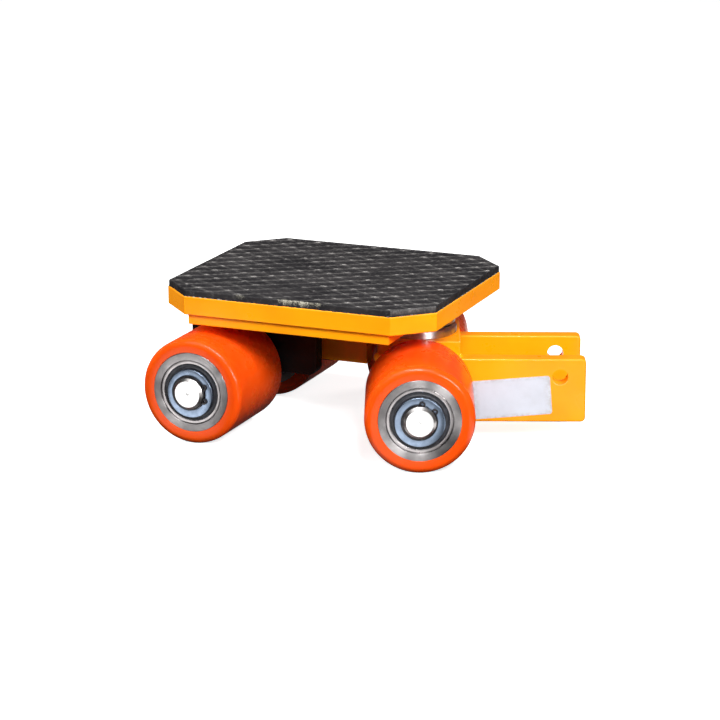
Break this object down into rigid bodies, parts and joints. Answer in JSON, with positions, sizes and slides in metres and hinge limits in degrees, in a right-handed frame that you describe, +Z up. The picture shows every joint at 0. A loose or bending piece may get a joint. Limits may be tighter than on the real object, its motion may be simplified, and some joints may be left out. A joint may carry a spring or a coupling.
{
  "type": "machine skate",
  "caption": "Low steel machine skate: octagonal rubber-topped load deck on overhung polyurethane rollers, with a swivelling front bogie and drawbar clevis.",
  "frame": {"origin": "on the floor, at the middle of the footprint box with the bogie turned as it is stored", "axes": "+X straight ahead towards the drawbar end, +Y to the left, +Z up"},
  "size_m": [0.3275, 0.2688, 0.1205],
  "materials": {
    "yellow_paint": "gloss enamel",
    "black_paint": "satin",
    "rubber_pad": "matt, worn ridges",
    "polyurethane": "cast, satin gloss",
    "turned_steel": "lathe turned",
    "bearing_steel": "ground and polished",
    "black_seal": "matt",
    "black_spring_steel": "phosphated and oiled",
    "zinc_plate": "blue zinc plate",
    "bright_bar": "bright drawn",
    "pressed_steel": "pressed",
    "bronze": "turned bronze"
  },
  "bodies": {
    "deck": {"deck_plate": "yellow_paint", "deck_pad": "rubber_pad", "right_side_rail": "yellow_paint", "left_side_rail": "yellow_paint", "right_rear_cheek": "black_paint", "left_rear_cheek": "black_paint", "centre_rib": "yellow_paint", "kingpin": "bright_bar", "kingpin_washer": "zinc_plate", "kingpin_circlip": "black_spring_steel", "thrust_upper_race": "bearing_steel", "rear_axle": "bright_bar", "rear_axle_spacers": "bright_bar", "rear_bearing_inner_rings": "bearing_steel", "rear_bearing_spacer_tubes": "bright_bar", "rear_axle_washers": "zinc_plate", "rear_axle_circlips": "black_spring_steel"},
    "bogie": {"bogie_plate": "yellow_paint", "right_drawbar_arm": "yellow_paint", "left_drawbar_arm": "yellow_paint", "thrust_lower_race": "bearing_steel", "kingpin_bush": "bronze", "front_axle": "bright_bar", "front_axle_spacers": "bright_bar", "front_bearing_inner_rings": "bearing_steel", "front_bearing_spacer_tubes": "bright_bar", "front_axle_washers": "zinc_plate", "front_axle_circlips": "black_spring_steel"},
    "ball_cage": {"thrust_cage": "pressed_steel", "thrust_balls": "bearing_steel"},
    "rear_right_roller": {"rear_right_roller_tread": "polyurethane", "rear_right_roller_core": "turned_steel", "rear_right_roller_bearing_outer_rings": "bearing_steel", "rear_right_roller_bearing_seals": "black_seal"},
    "rear_left_roller": {"rear_left_roller_tread": "polyurethane", "rear_left_roller_core": "turned_steel", "rear_left_roller_bearing_outer_rings": "bearing_steel", "rear_left_roller_bearing_seals": "black_seal"},
    "front_right_roller": {"front_right_roller_tread": "polyurethane", "front_right_roller_core": "turned_steel", "front_right_roller_bearing_outer_rings": "bearing_steel", "front_right_roller_bearing_seals": "black_seal"},
    "front_left_roller": {"front_left_roller_tread": "polyurethane", "front_left_roller_core": "turned_steel", "front_left_roller_bearing_outer_rings": "bearing_steel", "front_left_roller_bearing_seals": "black_seal"}
  },
  "joints": [
    {"name": "bogie_swivel", "type": "hinge", "parent": "deck", "child": "bogie", "pos_m": [0.026, 0, 0.0795], "axis": [0, 0, 1], "range_deg": [-51.5, 8.5]},
    {"name": "ball_cage_turn", "type": "hinge", "parent": "deck", "child": "ball_cage", "pos_m": [0.026, 0, 0.09], "axis": [0, 0, 1], "range_deg": [-25.75, 4.25]},
    {"name": "rear_right_roller_spin", "type": "hinge", "parent": "deck", "child": "rear_right_roller", "pos_m": [-0.1215, 0, 0.0425], "axis": [0, 1, 0], "continuous": true},
    {"name": "rear_left_roller_spin", "type": "hinge", "parent": "deck", "child": "rear_left_roller", "pos_m": [-0.1215, 0, 0.0425], "axis": [0, 1, 0], "continuous": true},
    {"name": "front_right_roller_spin", "type": "hinge", "parent": "bogie", "child": "front_right_roller", "pos_m": [0.026, 0, 0.0425], "axis": [-0.3665, 0.9304, 0], "continuous": true},
    {"name": "front_left_roller_spin", "type": "hinge", "parent": "bogie", "child": "front_left_roller", "pos_m": [0.026, 0, 0.0425], "axis": [-0.3665, 0.9304, 0], "continuous": true}
  ],
  "couplings": [
    {"joint": "ball_cage_turn", "follows": "bogie_swivel", "ratio": 0.5}
  ]
}
